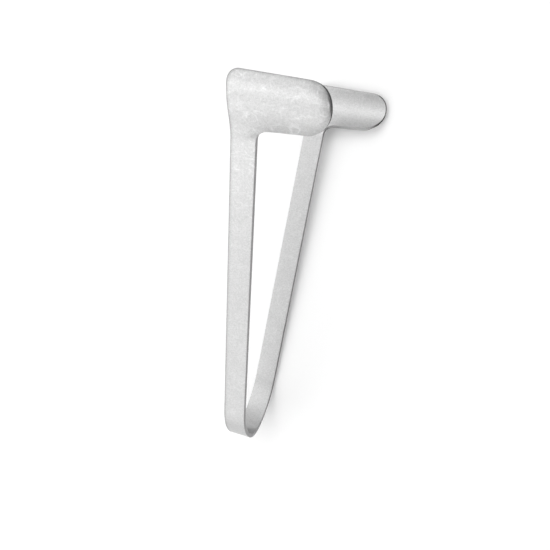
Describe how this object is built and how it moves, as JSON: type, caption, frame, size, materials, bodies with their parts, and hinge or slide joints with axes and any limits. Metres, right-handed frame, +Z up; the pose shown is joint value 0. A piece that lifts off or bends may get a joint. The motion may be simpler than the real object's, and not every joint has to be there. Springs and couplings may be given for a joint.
{
  "type": "nasal speculum",
  "caption": "Sprung nasal speculum: a steel strip bent into a narrow V, with a scooped, round-tipped blade pointing sideways at the end of each arm.",
  "frame": {"origin": "centre of the bounding box at its lowest level, with the speculum lying on its side on a table", "axes": "+X the way both blades point, +Y from the bent nose towards the blades, +Z up, through the lower arm to the upper one"},
  "size_m": [0.019, 0.0904, 0.0579],
  "materials": {
    "steel": "satin"
  },
  "bodies": {
    "root": {"speculum": "steel"}
  },
  "joints": []
}
